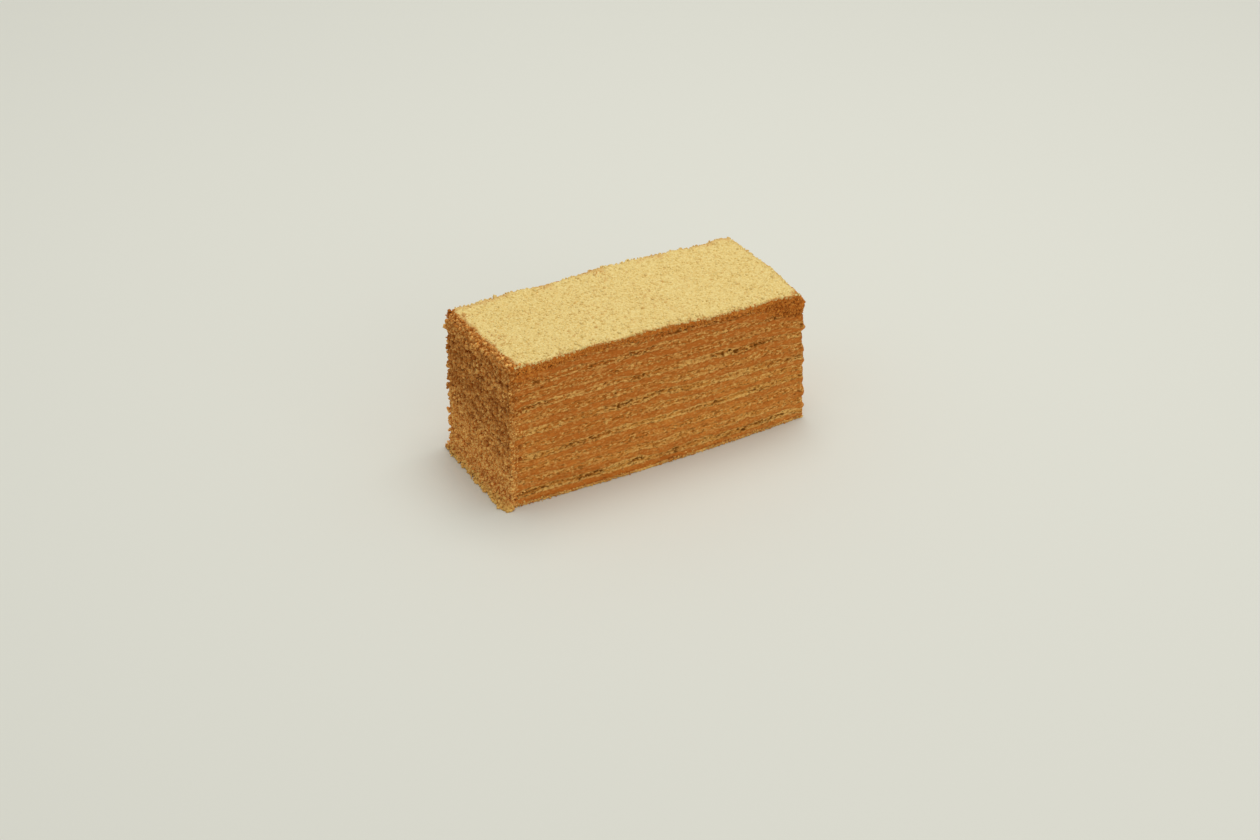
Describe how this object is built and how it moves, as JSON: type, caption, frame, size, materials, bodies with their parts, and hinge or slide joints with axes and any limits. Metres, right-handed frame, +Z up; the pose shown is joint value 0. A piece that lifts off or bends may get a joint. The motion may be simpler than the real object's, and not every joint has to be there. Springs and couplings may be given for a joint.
{
  "type": "honey cake slice",
  "caption": "Rectangular slice of layered honey cake: thin sponge and caramel cream layers, crumbs on the top, the base and one end.",
  "frame": {"origin": "middle of the base of the slice, on the surface it stands on", "axes": "+X along the slice from the crumbed end to the bare cut end, -Y out of the long cut face, +Z up"},
  "size_m": [0.1126, 0.0462, 0.0528],
  "materials": {
    "pale_crumbs": "matt dry crumbs",
    "brown_crumbs": "matt dry crumbs",
    "sponge": "matt porous sponge",
    "cream": "soft satin cream",
    "caramel": "soft satin cream"
  },
  "bodies": {
    "root": {"crumb_base": "pale_crumbs", "cream_01": "cream", "sponge_01": "sponge", "cream_02": "cream", "sponge_02": "sponge", "cream_03": "cream", "sponge_03": "sponge", "cream_04": "cream", "sponge_04": "sponge", "cream_05": "cream", "sponge_05": "sponge", "cream_06": "cream", "sponge_06": "sponge", "cream_07": "cream", "sponge_07": "sponge", "cream_08": "cream", "sponge_08": "sponge", "cream_09": "cream", "sponge_09": "sponge", "cream_10": "cream", "sponge_10": "sponge", "cream_11": "cream", "sponge_11": "sponge", "cream_12": "caramel", "crumb_top": "pale_crumbs", "crumb_end": "brown_crumbs"}
  },
  "joints": []
}
